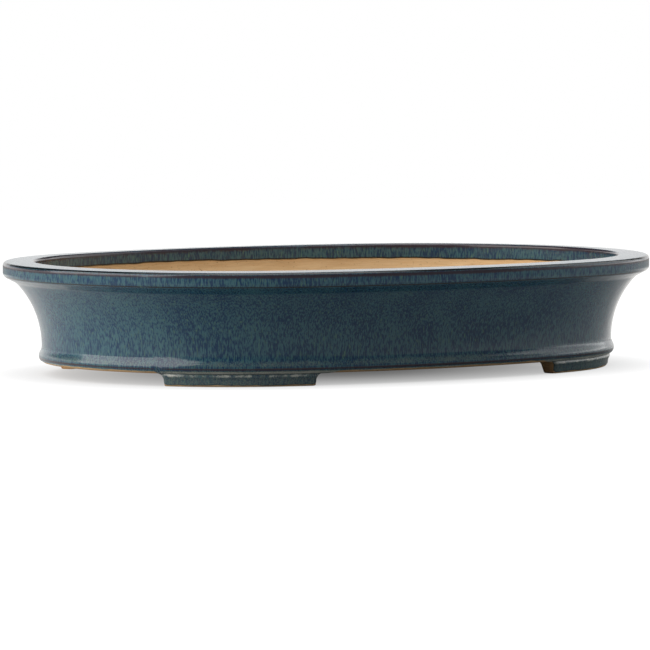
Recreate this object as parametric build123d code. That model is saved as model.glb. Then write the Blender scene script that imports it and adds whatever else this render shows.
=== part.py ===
from build123d import *
import math
import os

# A shallow oval pot for a miniature tree: a flat floor, a flaring wall, a wide flat lip,
# a rounded band round the foot of the wall and four low feet, glazed outside and over the lip.
#
# Millimetres. The origin is the middle of the oval on the ground, +X runs along the pot,
# -Y is the front and +Z is up. The plan is an oval of four tangent arcs. A section is drawn
# with x as the distance outward from the lip's outermost line, so x is never positive, and
# y as the height above the ground.

# The oval that the lip's outermost line follows
LENGTH = 410.0
WIDTH = 290.0
END_RADIUS = 135.0

# Heights
HEIGHT = 67.0
FOOT_HEIGHT = 7.4
FLOOR_TOP = 15.5

# The lip
LIP_WIDTH = 18.5
LIP_CORNER_HEIGHT = 58.2
LIP_TOP_EDGE_RADIUS = 2.2
LIP_LOW_EDGE_RADIUS = 2.0
LIP_INNER_EDGE_RADIUS = 1.5

# The flaring wall: one arc outside and a parallel one inside
WAIST_INSET = 23.0
WAIST_HEIGHT = 17.0
FLARE_RADIUS = 54.0
UNDER_LIP_SLOPE = 25.0
UNDER_LIP_RADIUS = 6.0
INNER_FLARE_RADIUS = 12.0
WALL_THICKNESS = 7.5
FLOOR_CORNER_RADIUS = 5.0

# The rounded band at the foot of the wall
BAND_CREST_INSET = 21.3
BAND_CREST_HEIGHT = 11.0
BAND_UPPER_RADIUS = 5.0
BAND_HOLLOW_RADIUS = 4.0

# Where the parts of the clay body meet
RIM_JOINT_HEIGHT = 57.5
FLOOR_JOINT_INSET = 38.0

# The feet follow the oval. The angles are directions of its outward normal, from the pot's
# length, at a foot's end near the tip and at its end near the middle of the side. The back
# feet stand closer together.
FRONT_FOOT_ANGLES = (35.2, 76.4)
BACK_FOOT_ANGLES = (54.5, 82.1)
FOOT_TOP_INSET = 24.0
FOOT_BOTTOM_INSET = 25.3
FOOT_TOP_INNER_INSET = 36.9
FOOT_BOTTOM_INNER_INSET = 33.8
FOOT_CORNER_RADIUS = 2.5
FOOT_BOTTOM_EDGE_RADIUS = 0.8

# The glaze coat
GLAZE_THICKNESS = 0.6
GLAZE_DEPTH_INSIDE = 8.2
GLAZE_GAP_AT_BAND = 1.0
GLAZE_GAP_AT_GROUND = 0.9

# The holes through the floor
DRAIN_RADIUS = 18.0
DRAIN_SPACING = 160.0
DRAIN_EDGE_RADIUS = 1.0
TIE_RADIUS = 3.0
TIE_SPACING_LONG = 236.0
TIE_SPACING_ACROSS = 96.0

# The four tangent arcs of the plan, worked out from its length, width and end radius
END_CENTRE = LENGTH / 2 - END_RADIUS
SIDE_RADIUS = (END_CENTRE**2 + (WIDTH / 2) ** 2 - END_RADIUS**2) / (WIDTH - 2 * END_RADIUS)
SIDE_CENTRE = SIDE_RADIUS - WIDTH / 2
JOIN_ANGLE = math.degrees(math.atan2(SIDE_CENTRE, END_CENTRE))
PLAN_ARCS = (
    (END_CENTRE, 0, END_RADIUS, -JOIN_ANGLE, JOIN_ANGLE),
    (0, -SIDE_CENTRE, SIDE_RADIUS, JOIN_ANGLE, 180 - JOIN_ANGLE),
    (-END_CENTRE, 0, END_RADIUS, 180 - JOIN_ANGLE, 180 + JOIN_ANGLE),
    (0, SIDE_CENTRE, SIDE_RADIUS, 180 + JOIN_ANGLE, 360 - JOIN_ANGLE),
)

# The flare's arcs share a centre, outside the pot and level with the waist
FLARE_CENTRE_INSET = WAIST_INSET - FLARE_RADIUS

# A size well past every part, for the pieces that cut
FAR = 100.0


def on_arc(section, arc, start, end):
    """The section turned about the axis of one arc of the plan, from one direction to another."""
    centre_x, centre_y, radius = arc[:3]
    across = (math.cos(math.radians(start)), math.sin(math.radians(start)))
    plane = Plane(
        origin=(centre_x, centre_y, 0),
        x_dir=(across[0], across[1], 0),
        z_dir=(across[1], -across[0], 0),
    )
    placed = plane * Pos(radius, 0) * section
    return revolve(placed, Axis((centre_x, centre_y, 0), (0, 0, 1)), revolution_arc=end - start)


def along_oval(section, start, end):
    """The section carried along the oval between two directions of its outward normal."""
    runs = []
    for arc in PLAN_ARCS:
        for turn in (-360, 0, 360):
            low = max(start, arc[3] + turn)
            high = min(end, arc[4] + turn)
            if high - low > 1e-6:
                runs.append(on_arc(section, arc, low, high))
    return runs[0].fuse(*runs[1:]).clean() if len(runs) > 1 else runs[0]


def ring(section):
    """The section carried once round the whole oval."""
    return along_oval(section, -JOIN_ANGLE, 360 - JOIN_ANGLE)


def oval_slab(inset, bottom, top):
    """A flat slab whose edge lies the given inset inside the lip's outermost line."""
    edges = [
        CenterArc((x, y), radius - inset, start, end - start)
        for x, y, radius, start, end in PLAN_ARCS
    ]
    return Pos(0, 0, bottom) * extrude(make_face(edges), top - bottom)


def block(inset_far, inset_near, bottom, top):
    """A rectangle of section between two insets and two heights."""
    corner = Pos(-inset_far, bottom)
    return corner * Rectangle(inset_far - inset_near, top - bottom, align=(Align.MIN, Align.MIN))


def flare_inset(radius, height):
    """The inset of an arc of the flare at a height, inside or outside."""
    return FLARE_CENTRE_INSET + math.sqrt(radius**2 - (height - WAIST_HEIGHT) ** 2)


def flare_arc(radius, low, high):
    """The flare's arc of a radius, as a line of the section between two heights."""
    points = [(-flare_inset(radius, height), height) for height in (low, (low + high) / 2, high)]
    return ThreePointArc(*points)


def under_lip_foot(radius, corner):
    """Where the slope under the lip, drawn down from the lip's corner, meets the flare's arc."""
    slope = math.radians(UNDER_LIP_SLOPE)
    along = (-math.cos(slope), -math.sin(slope))
    away = (corner[0] + FLARE_CENTRE_INSET, corner[1] - WAIST_HEIGHT)
    half = along[0] * away[0] + along[1] * away[1]
    reach = -half + math.sqrt(half**2 + radius**2 - away[0] ** 2 - away[1] ** 2)
    return (corner[0] + reach * along[0], corner[1] + reach * along[1])


def rounded_at(face, point, radius):
    """The face with the corner nearest to a point rounded."""
    corner = face.vertices().sort_by_distance((point[0], point[1], 0))[0]
    return fillet(corner, radius)


def shell_section(skin=0.0):
    """The section of wall, lip and band, out to the floor's edge, with a skin taken off it.

    The skin comes off every side that carries glaze. With none it is the finished section.
    """
    slope = math.radians(UNDER_LIP_SLOPE)
    low_radius = BAND_CREST_HEIGHT - FOOT_HEIGHT
    low_centre = (-BAND_CREST_INSET - low_radius, BAND_CREST_HEIGHT)
    upper_centre = (-BAND_CREST_INSET - BAND_UPPER_RADIUS, BAND_CREST_HEIGHT)
    upper_radius = BAND_UPPER_RADIUS - skin
    waist = (-WAIST_INSET - skin, WAIST_HEIGHT)
    upper_turn = math.acos((waist[0] - upper_centre[0]) / upper_radius)
    lip_low = (-skin, LIP_CORNER_HEIGHT + skin * (1 - math.sin(slope)) / math.cos(slope))
    lip_top = (-skin, HEIGHT - skin)
    lip_inner = (skin - LIP_WIDTH, HEIGHT - skin)
    outer_radius = FLARE_RADIUS + skin
    inner_radius = FLARE_RADIUS + WALL_THICKNESS
    inner_drop = lip_inner[0] + FLARE_CENTRE_INSET
    inner_turn = (lip_inner[0], WAIST_HEIGHT + math.sqrt(inner_radius**2 - inner_drop**2))
    flare_top = under_lip_foot(outer_radius, lip_low)
    floor_corner = (-flare_inset(inner_radius, FLOOR_TOP), FLOOR_TOP)
    floor_end = (-FLOOR_JOINT_INSET, FLOOR_TOP)
    floor_low = (-FLOOR_JOINT_INSET, FOOT_HEIGHT + skin)

    lower_band = CenterArc(low_centre, low_radius - skin, -90, 90)
    upper_band = CenterArc(upper_centre, upper_radius, 0, math.degrees(upper_turn))
    band_top = (waist[0], BAND_CREST_HEIGHT + upper_radius * math.sin(upper_turn))
    outline = [
        Line(floor_low, lower_band @ 0),
        lower_band,
        upper_band,
        Line(band_top, waist),
        flare_arc(outer_radius, WAIST_HEIGHT, flare_top[1]),
        Line(flare_top, lip_low),
        Line(lip_low, lip_top),
        Line(lip_top, lip_inner),
        Line(lip_inner, inner_turn),
        flare_arc(inner_radius, FLOOR_TOP, inner_turn[1]),
        Line(floor_corner, floor_end),
        Line(floor_end, floor_low),
    ]
    face = make_face(outline)
    for point, radius in (
        (band_top, BAND_HOLLOW_RADIUS + skin),
        (flare_top, UNDER_LIP_RADIUS + skin),
        (lip_low, LIP_LOW_EDGE_RADIUS - skin),
        (lip_top, LIP_TOP_EDGE_RADIUS - skin),
        (lip_inner, LIP_INNER_EDGE_RADIUS - skin),
        (inner_turn, INNER_FLARE_RADIUS),
        (floor_corner, FLOOR_CORNER_RADIUS),
    ):
        face = rounded_at(face, point, radius)
    return face


def glazed_zone():
    """The part of the section plane where the body carries glaze.

    It is everything outside the wall's middle, from just above the band's foot, and everything
    above the line where the glaze ends inside the lip.
    """
    glaze_foot = FOOT_HEIGHT + GLAZE_GAP_AT_BAND
    glaze_end = HEIGHT - GLAZE_DEPTH_INSIDE
    mid_radius = FLARE_RADIUS + WALL_THICKNESS / 2
    mid_inset = FLARE_CENTRE_INSET + mid_radius
    turn = (-flare_inset(mid_radius, LIP_CORNER_HEIGHT), LIP_CORNER_HEIGHT)
    corners = [
        (turn[0], glaze_end),
        (-FAR, glaze_end),
        (-FAR, FAR),
        (FAR, FAR),
        (FAR, glaze_foot),
        (-mid_inset, glaze_foot),
        (-mid_inset, WAIST_HEIGHT),
    ]
    return make_face(
        [
            flare_arc(mid_radius, WAIST_HEIGHT, LIP_CORNER_HEIGHT),
            Line(turn, corners[0]),
            Polyline(*corners),
        ]
    )


def foot_section(inset=0.0):
    """A foot's section: upright outside, leaning in towards the ground inside."""
    points = [
        (-FOOT_TOP_INSET - inset, FOOT_HEIGHT),
        (-FOOT_BOTTOM_INSET - inset, 0),
        (-FOOT_BOTTOM_INNER_INSET, 0),
        (-FOOT_TOP_INNER_INSET, FOOT_HEIGHT),
    ]
    face = make_face(Polyline(*points, close=True))
    return rounded_at(face, points[1], FOOT_BOTTOM_EDGE_RADIUS)


def foot_parts(start, end):
    """One foot between two directions: (its clay, the glaze on its outward face)."""
    whole = along_oval(foot_section(), start, end)
    uprights = whole.edges().filter_by(lambda e: abs(e.tangent_at(0.5).Z) > 0.5)
    whole = fillet(uprights, FOOT_CORNER_RADIUS)
    core = along_oval(foot_section(GLAZE_THICKNESS), start - 1, end + 1)
    above = oval_slab(0, GLAZE_GAP_AT_GROUND, FOOT_HEIGHT)
    behind = oval_slab((FOOT_TOP_INNER_INSET + FOOT_BOTTOM_INSET) / 2, 0, FOOT_HEIGHT)
    glaze = (whole - core - behind) & above
    return whole - glaze, glaze


def floor_slab():
    """The floor, with its drain holes and the small holes for tying wires."""
    slab = oval_slab(FLOOR_JOINT_INSET, FOOT_HEIGHT, FLOOR_TOP)
    thickness = FLOOR_TOP - FOOT_HEIGHT
    for x in (-DRAIN_SPACING / 2, DRAIN_SPACING / 2):
        slab -= Pos(x, 0, FOOT_HEIGHT + thickness / 2) * Cylinder(DRAIN_RADIUS, thickness)
    rims = slab.edges().filter_by(GeomType.CIRCLE)
    rims = rims.filter_by(lambda e: abs(e.radius - DRAIN_RADIUS) < 0.01)
    slab = fillet(rims, DRAIN_EDGE_RADIUS)
    for x in (-TIE_SPACING_LONG / 2, TIE_SPACING_LONG / 2):
        for y in (-TIE_SPACING_ACROSS / 2, TIE_SPACING_ACROSS / 2):
            slab -= Pos(x, y, FOOT_HEIGHT + thickness / 2) * Cylinder(TIE_RADIUS, thickness)
    return slab


def clay_rings(clay):
    """The clay rings, bottom to top: the base band, the wall and the rim."""
    band = clay & block(FAR, -FAR, FOOT_HEIGHT, WAIST_HEIGHT)
    wall = clay & block(FAR, -FAR, WAIST_HEIGHT, RIM_JOINT_HEIGHT)
    rim = clay & block(FAR, -FAR, RIM_JOINT_HEIGHT, FAR)
    return {"base_band": ring(band), "wall": ring(wall), "rim": ring(rim)}


def feet():
    """The four feet and the glaze on each, by name. The left ones mirror the right ones."""
    back_tip, back_side = BACK_FOOT_ANGLES
    tip, side = FRONT_FOOT_ANGLES
    places = {"back": (back_tip, back_side), "front": (-side, -tip)}
    parts = {}
    for name, (start, end) in places.items():
        clay, glaze = foot_parts(start, end)
        parts[f"foot_{name}_right"] = clay
        parts[f"foot_{name}_left"] = mirror(clay, about=Plane.YZ)
        parts[f"foot_glaze_{name}_right"] = glaze
        parts[f"foot_glaze_{name}_left"] = mirror(glaze, about=Plane.YZ)
    return parts


def pot():
    """Every part of the pot, by name."""
    shell = shell_section()
    glaze = (shell - shell_section(GLAZE_THICKNESS)) & glazed_zone()
    parts = {"floor": floor_slab(), "body_glaze": ring(glaze)}
    parts.update(clay_rings(shell - glaze))
    parts.update(feet())
    return parts


os.makedirs("parts", exist_ok=True)
for name, part in pot().items():
    export_step(part, f"parts/{name}.step")
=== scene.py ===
"""A shallow oval pot for a miniature tree, in blue-green glaze over buff clay.

The pot is one fired body made of rings and slabs luted together: a floor, a rounded band, a
flaring wall, a wide flat lip and four low feet. Glaze covers the outside, the lip and a short
way down inside. Every surface here is a section carried along the pot's oval plan, or a flat
sheet cut to it, worked out as numpy arrays in metres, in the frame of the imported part.
"""

import logging
import math
from collections.abc import Mapping, Sequence
from dataclasses import dataclass, field
from enum import Enum

import bpy
import numpy as np
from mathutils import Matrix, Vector
from mathutils.geometry import delaunay_2d_cdt
from numpy.typing import NDArray


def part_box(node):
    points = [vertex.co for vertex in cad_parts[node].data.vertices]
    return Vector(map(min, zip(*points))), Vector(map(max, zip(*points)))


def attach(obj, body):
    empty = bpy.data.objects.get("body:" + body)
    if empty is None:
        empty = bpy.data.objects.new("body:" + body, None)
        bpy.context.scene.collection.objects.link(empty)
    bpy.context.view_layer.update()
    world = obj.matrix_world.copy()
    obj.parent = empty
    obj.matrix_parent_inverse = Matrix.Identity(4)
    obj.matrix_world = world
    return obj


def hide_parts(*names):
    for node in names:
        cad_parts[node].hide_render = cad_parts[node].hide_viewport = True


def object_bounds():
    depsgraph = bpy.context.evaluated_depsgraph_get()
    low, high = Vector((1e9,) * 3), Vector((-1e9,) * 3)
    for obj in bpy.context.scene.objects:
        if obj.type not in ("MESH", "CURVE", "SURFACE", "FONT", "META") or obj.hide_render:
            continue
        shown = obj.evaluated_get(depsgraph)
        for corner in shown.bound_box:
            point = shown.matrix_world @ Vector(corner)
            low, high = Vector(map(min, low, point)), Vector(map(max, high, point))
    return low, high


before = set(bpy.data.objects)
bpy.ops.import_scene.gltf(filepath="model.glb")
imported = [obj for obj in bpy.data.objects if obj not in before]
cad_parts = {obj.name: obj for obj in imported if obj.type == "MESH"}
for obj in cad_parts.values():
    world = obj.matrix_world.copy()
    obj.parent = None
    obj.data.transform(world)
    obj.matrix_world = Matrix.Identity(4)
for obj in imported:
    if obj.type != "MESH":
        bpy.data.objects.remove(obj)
CAD_LOW, CAD_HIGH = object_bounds()

Array = NDArray[np.float64]
MM = 0.001
BODY = "root"
log = logging.getLogger("pot")


class Slot(Enum):
    """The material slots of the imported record."""

    CLAY = "clay"
    GLAZE = "glaze"


# ----------------------------------------------------------------------------- curves


def straight(start: Sequence[float], end: Sequence[float], steps: int = 24) -> Array:
    """Points spaced evenly on a straight line.

    Args:
        start: the line's first point.
        end: its last point.
        steps: how many points.

    Returns:
        start + (end - start) times t, for t from 0 to 1.
    """
    t = np.linspace(0.0, 1.0, steps)[:, None]
    return np.asarray(start, float) + (np.asarray(end, float) - np.asarray(start, float)) * t


def arc(centre: Sequence[float], radius: float, start: float, end: float, steps: int = 90) -> Array:
    """Points on a circular arc.

    Args:
        centre: the circle's centre.
        radius: its radius.
        start: the first point's angle, in radians.
        end: the last point's angle.
        steps: how many points.

    Returns:
        centre + radius times (cosine, sine) of an angle that runs evenly from start to end.
    """
    angle = np.linspace(start, end, steps)
    return np.asarray(centre, float) + radius * np.stack([np.cos(angle), np.sin(angle)], 1)


def along(line: Array) -> Array:
    """The distance of each point from the line's first point, measured along the line."""
    return np.concatenate([[0.0], np.cumsum(np.linalg.norm(np.diff(line, axis=0), axis=1))])


def cut(line: Array, low: float, high: float) -> Array:
    """The stretch of a line between two distances along it.

    Args:
        line: the points.
        low: where the stretch starts.
        high: where it ends.

    Returns:
        The line's own points between the two, with the two ends put in by interpolation.
    """
    s = along(line)
    inner = s[(s > low + 1e-9) & (s < high - 1e-9)]
    wanted = np.concatenate([[low], inner, [high]])
    return np.stack([np.interp(wanted, s, line[:, k]) for k in range(line.shape[1])], 1)


def joined(spans: Sequence[Array], radii: Sequence[float], steps: int = 28) -> Array:
    """Joins spans end to end and rounds each joint.

    A joint of radius r, where the line turns by an angle a, loses r tan(a/2) on both sides. The
    gap is closed by the conic whose control point is the crossing of the two end tangents and
    whose middle weight is cos(a/2), which is a circle's arc between straight spans.

    Args:
        spans: lines, each starting where the last one ends.
        radii: the radius at each joint.
        steps: the points on each rounded joint.

    Returns:
        One line.
    """
    lows, highs, turns = [0.0], [], []
    for before, after, radius in zip(spans[:-1], spans[1:], radii):
        a, b = before[-1] - before[-2], after[1] - after[0]
        turn = abs(math.atan2(a[0] * b[1] - a[1] * b[0], float(a @ b)))
        loss = radius * math.tan(turn / 2)
        highs.append(along(before)[-1] - loss)
        lows.append(loss)
        turns.append(turn)
    highs.append(along(spans[-1])[-1])
    kept = [cut(span, low, high) for span, low, high in zip(spans, lows, highs)]
    t = np.linspace(0.0, 1.0, steps)[1:-1, None]
    parts = [kept[0]]
    for before, after, turn in zip(kept[:-1], kept[1:], turns):
        a, b = before[-1] - before[-2], after[1] - after[0]
        reach = np.linalg.solve(np.stack([a, b], 1), after[0] - before[-1])[0]
        middle = before[-1] + a * reach
        weight = math.cos(turn / 2)
        shares = np.concatenate([(1 - t) ** 2, 2 * weight * t * (1 - t), t**2], 1)
        points = np.stack([before[-1], middle, after[0]])
        parts += [shares @ points / shares.sum(1, keepdims=True), after]
    return np.concatenate(parts)


def evenly(line: Array, count: int, bend_share: float = 0.0, fine: Array | float = 1.0) -> Array:
    """Places along a line, closer together where it bends.

    The places stand evenly on the running sum of fine times length + bend_share times the angle
    turned.

    Args:
        line: the points.
        count: how many places to return.
        bend_share: the length that one radian of turning counts for.
        fine: how much each point's stretch counts, 1 for ordinary.

    Returns:
        The distances along the line at which the places stand.
    """
    s = along(line)
    steps = np.diff(line, axis=0)
    heading = np.unwrap(np.arctan2(steps[:, 1], steps[:, 0]))
    turned = np.append(np.abs(np.diff(heading)), 0.0)
    gained = np.diff(s) * np.broadcast_to(fine, s.shape)[1:] + bend_share * turned
    weight = np.concatenate([[0.0], np.cumsum(gained)])
    return np.interp(np.linspace(0.0, weight[-1], count), weight, s)


def smooth_step(x: Array | float, low: float, high: float) -> Array:
    """0 below low, 1 above high, and 3t^2 - 2t^3 between them."""
    t = np.clip((np.asarray(x, float) - low) / (high - low), 0.0, 1.0)
    return t * t * (3 - 2 * t)


def hump(x: Array, centre: float, width: float) -> Array:
    """A bell curve: e to the minus ((x - centre) / width) squared."""
    return np.exp(-(((x - centre) / width) ** 2))


def ripple(turn: Array, waves: Mapping[int, float], seed: int) -> Array:
    """A closed wavy line: a sum of whole-numbered waves round the oval.

    Args:
        turn: the place round the oval, from 0 to 2 pi.
        waves: the height of each wave, by how many of them go round.
        seed: sets where the waves start.

    Returns:
        The sum of height times sin(number times turn + start).
    """
    starts = np.random.default_rng(seed).uniform(0, 2 * math.pi, len(waves))
    return sum(
        (h * np.sin(n * turn + start) for (n, h), start in zip(waves.items(), starts)),
        np.zeros_like(turn),
    )


@dataclass(frozen=True)
class Oval:
    """The pot's plan: the closed line that the lip's outermost edge follows.

    Its curvature is 1 over the end radius round each end and 1 over the side radius along each
    side, eased from one to the other. A quarter of it is the running integral of the heading,
    which is the running integral of the curvature, and the rest is mirrored.
    """

    length: float
    width: float
    end_radius: float = 135 * MM
    ease: float = 40 * MM
    count: int = 480

    def quarter(self, steps: int = 4000) -> tuple[Array, Array]:
        """The quarter from the right tip to the middle of the back.

        Args:
            steps: how many stretches the integrals are summed over.

        Returns:
            The points and the outward unit normals.
        """
        reach = self.length / 2 - self.end_radius
        half = self.width / 2
        side = (reach**2 + half**2 - self.end_radius**2) / (self.width - 2 * self.end_radius)
        turn = math.atan2(side - half, reach)
        change = self.end_radius * turn
        s = np.linspace(0.0, change + side * (math.pi / 2 - turn), steps + 1)
        step = s[1]
        share = smooth_step(s, change - self.ease / 2, change + self.ease / 2)
        curvature = (1 - share) / self.end_radius + share / side
        heading = np.concatenate([[0.0], np.cumsum((curvature[1:] + curvature[:-1]) / 2 * step)])
        heading *= math.pi / 2 / heading[-1]
        middle = (heading[1:] + heading[:-1]) / 2
        x = np.concatenate([[0.0], -np.cumsum(np.sin(middle) * step)])
        y = np.concatenate([[0.0], np.cumsum(np.cos(middle) * step)])
        points = np.stack([(x / -x[-1] + 1) * self.length / 2, y / y[-1] * half], 1)
        slope = np.gradient(points, axis=0)
        normals = np.stack([slope[:, 1], -slope[:, 0]], 1)
        normals[0], normals[-1] = (1, 0), (0, 1)
        return points, normals / np.linalg.norm(normals, axis=1, keepdims=True)

    def stations(self) -> tuple[Array, Array, Array]:
        """Evenly spaced places all round, from the right tip, turning left.

        Returns:
            The points, the outward unit normals and each place's turn from 0 to 2 pi.
        """
        pick = np.linspace(0, 4000, self.count // 4 + 1).round().astype(int)
        whole = []
        for quarter in self.quarter():
            q = quarter[pick]
            whole.append(
                np.concatenate(
                    [
                        q[:-1],
                        q[:0:-1] * (-1, 1),
                        q[:-1] * (-1, -1),
                        q[:0:-1] * (1, -1),
                    ]
                )
            )
        turn = np.arange(self.count) / self.count * 2 * math.pi
        return whole[0], whole[1], turn

    def stretch(self, start: float, end: float, count: int) -> tuple[Array, Array, Array]:
        """Places between two directions of the outward normal, evenly spaced by distance.

        Args:
            start: the first normal's direction, in degrees from the right tip.
            end: the last normal's direction, up to 360 degrees past the first.
            count: how many places.

        Returns:
            The points, the outward unit normals and the distances from the first place.
        """
        points, normals, _ = self.stations()
        points, normals = np.tile(points, (2, 1)), np.tile(normals, (2, 1))
        angle = np.degrees(np.unwrap(np.arctan2(normals[:, 1], normals[:, 0])))
        s = along(points)
        low, high = np.interp([start % 360, start % 360 + end - start], angle, s)
        place = np.linspace(low, high, count)
        at = [
            np.stack([np.interp(place, s, a[:, k]) for k in (0, 1)], 1) for a in (points, normals)
        ]
        at[1] /= np.linalg.norm(at[1], axis=1, keepdims=True)
        return at[0], at[1], place - low


# ----------------------------------------------------------------------------- meshes


def make_object(
    name: str,
    vertices: Array,
    faces: Sequence[Sequence[int]],
    marks: Mapping[str, Array] | None = None,
    crease: float = 40.0,
) -> bpy.types.Object:
    """Puts arrays into a mesh object at the origin.

    Args:
        name: the piece's name.
        vertices: one row of x, y and z for each vertex.
        faces: the vertex numbers of each face, anticlockwise seen from outside.
        marks: float attributes, one value for each vertex.
        crease: edges that fold by more than this many degrees stay sharp.

    Returns:
        The new object, linked into the scene.
    """
    mesh = bpy.data.meshes.new(name)
    mesh.from_pydata(vertices.tolist(), [], faces)
    for mark, values in (marks or {}).items():
        mesh.attributes.new(mark, "FLOAT", "POINT").data.foreach_set(
            "value", np.ascontiguousarray(values, np.float32).ravel()
        )
    mesh.shade_smooth()
    mesh.set_sharp_from_angle(angle=math.radians(crease))
    mesh.validate()
    obj = bpy.data.objects.new(name, mesh)
    bpy.context.scene.collection.objects.link(obj)
    return obj


def grid_faces(rows: int, columns: int, close_rows: bool, close_columns: bool) -> NDArray[np.int64]:
    """Quads between neighbouring points of a grid.

    Args:
        rows: the number of rows.
        columns: the number of points in each row.
        close_rows: whether the last row joins the first.
        close_columns: whether each row's last point joins its first.

    Returns:
        Point r, c joined to r, c+1, then r+1, c+1, then r+1, c.
    """
    r = np.arange(rows if close_rows else rows - 1)[:, None]
    c = np.arange(columns if close_columns else columns - 1)[None, :]
    r1, c1 = (r + 1) % rows, (c + 1) % columns
    quads = np.stack([r * columns + c, r * columns + c1, r1 * columns + c1, r1 * columns + c], -1)
    return quads.reshape(-1, 4)


def swept(points: Array, normals: Array, out: Array, height: Array) -> Array:
    """A section carried along a plan line.

    Args:
        points: the plan line's points, one row each.
        normals: its outward unit normals.
        out: how far outward each section point stands, one row for each plan point.
        height: how high it stands, the same shape.

    Returns:
        Plan point + out times normal, with the height, as a grid of x, y and z.
    """
    plan = points[:, None, :] + out[:, :, None] * normals[:, None, :]
    return np.concatenate([plan, height[:, :, None]], 2)


# ----------------------------------------------------------------------------- shader nodes


Wire = bpy.types.NodeSocket | float | int | Sequence[float]


class Board:
    """A node tree, with short names for the nodes that a finish uses."""

    def __init__(self, owner: bpy.types.Material | bpy.types.World, output: str) -> None:
        """Starts an empty tree that ends in one output.

        Args:
            owner: the material or the world whose tree it is.
            output: the output node's type name, after ShaderNode.
        """
        owner.use_nodes = True
        self.owner = owner
        self.tree = owner.node_tree
        self.tree.nodes.clear()
        self.output = self.tree.nodes.new("ShaderNode" + output)

    def finish(self, last: bpy.types.Node) -> None:
        """Wires a shader's first output to the tree's surface."""
        self.tree.links.new(last.outputs[0], self.output.inputs["Surface"])

    def put(self, socket: bpy.types.NodeSocket, value: Wire) -> None:
        """Wires a socket to another, or sets its value.

        Args:
            socket: the input.
            value: an output to wire to it, or a plain value.
        """
        if isinstance(value, bpy.types.NodeSocket):
            self.tree.links.new(value, socket)
        else:
            socket.default_value = value

    def node(
        self, kind: str, inputs: Mapping[str | int, Wire], **settings: object
    ) -> bpy.types.Node:
        """Adds a node.

        Args:
            kind: its type name, after ShaderNode.
            inputs: values or wires, by input name or number.
            settings: the node's own settings.

        Returns:
            The new node.
        """
        made = self.tree.nodes.new("ShaderNode" + kind)
        for key, value in settings.items():
            setattr(made, key, value)
        for key, value in inputs.items():
            self.put(made.inputs[key], value)
        return made

    def place(self, scale: Sequence[float] = (1, 1, 1)) -> bpy.types.NodeSocket:
        """The place on the object, stretched along each axis."""
        source = self.node("TexCoord", {}).outputs["Object"]
        return self.node("Mapping", {"Vector": source, "Scale": scale}).outputs["Vector"]

    def mark(self, name: str) -> bpy.types.NodeSocket:
        """A float attribute of the mesh."""
        return self.node("Attribute", {}, attribute_name=name).outputs["Fac"]

    def seen(self) -> bpy.types.NodeSocket:
        """1 for what the camera sees straight, and 0 for light and reflections."""
        return self.node("LightPath", {}).outputs["Is Camera Ray"]

    def noise(
        self, place: Wire, size: float, detail: float = 3.0, rough: float = 0.55
    ) -> bpy.types.NodeSocket:
        """Cloudy noise from 0 to 1 whose blots are about the given size, in metres."""
        inputs = {"Vector": place, "Scale": 1 / size, "Detail": detail, "Roughness": rough}
        return self.node("TexNoise", inputs).outputs["Fac"]

    def math(self, operation: str, a: Wire, b: Wire = 0.0) -> bpy.types.NodeSocket:
        """One sum, product or other operation on two numbers."""
        return self.node("Math", {0: a, 1: b}, operation=operation).outputs[0]

    def weighed(self, a: Wire, weight: float, b: Wire) -> bpy.types.NodeSocket:
        """a times a weight, plus b times what the weight leaves of 1."""
        rest = self.math("MULTIPLY", b, 1 - weight)
        return self.math("ADD", self.math("MULTIPLY", a, weight), rest)

    def dot(self, a: Wire, b: Sequence[float]) -> bpy.types.NodeSocket:
        """The dot product of a wired vector and a fixed one."""
        return self.node("VectorMath", {0: a, 1: b}, operation="DOT_PRODUCT").outputs["Value"]

    def length(self, vector: Wire) -> bpy.types.NodeSocket:
        """A vector's length."""
        return self.node("VectorMath", {0: vector}, operation="LENGTH").outputs["Value"]

    def remap(
        self, value: Wire, low: float, high: float, to_low: Wire = 0.0, to_high: Wire = 1.0
    ) -> bpy.types.NodeSocket:
        """A number carried smoothly from one range to another and held at its ends.

        Args:
            value: the number.
            low: the first range's low end.
            high: its high end.
            to_low: what the low end becomes.
            to_high: what the high end becomes.

        Returns:
            The carried number.
        """
        ranges = {"From Min": low, "From Max": high, "To Min": to_low, "To Max": to_high}
        made = self.node("MapRange", {"Value": value, **ranges}, interpolation_type="SMOOTHSTEP")
        return made.outputs["Result"]

    def blend(self, share: Wire, a: Wire, b: Wire) -> bpy.types.NodeSocket:
        """Two colours mixed.

        Args:
            share: 0 for the first colour and 1 for the second.
            a: the first colour, wired or as three numbers.
            b: the second.

        Returns:
            The mixed colour.
        """
        made = self.node("Mix", {0: share}, data_type="RGBA")
        self.put(made.inputs["A"], (*a, 1.0) if isinstance(a, tuple) else a)
        self.put(made.inputs["B"], (*b, 1.0) if isinstance(b, tuple) else b)
        return made.outputs["Result"]

    def bump(self, height: Wire, depth: float, below: Wire | None = None) -> bpy.types.NodeSocket:
        """A surface raised by a height of 0 to 1 times a depth.

        Args:
            height: the height.
            depth: the depth, in metres.
            below: the bumped surface that this one lies on, if any.

        Returns:
            The raised surface's normal.
        """
        inputs = {"Height": height, "Distance": depth, "Strength": 1.0}
        if below is not None:
            inputs["Normal"] = below
        return self.node("Bump", inputs).outputs["Normal"]


def shade(red: float, green: float, blue: float) -> tuple[float, float, float]:
    """A linear colour from its display values of 0 to 255.

    Args:
        red: the display red.
        green: the display green.
        blue: the display blue.

    Returns:
        Each over 255, to the linear scale of the display curve.
    """
    value = np.array([red, green, blue]) / 255
    linear = np.where(value > 0.04045, ((value + 0.055) / 1.055) ** 2.4, value / 12.92)
    return tuple(float(v) for v in linear)


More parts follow.
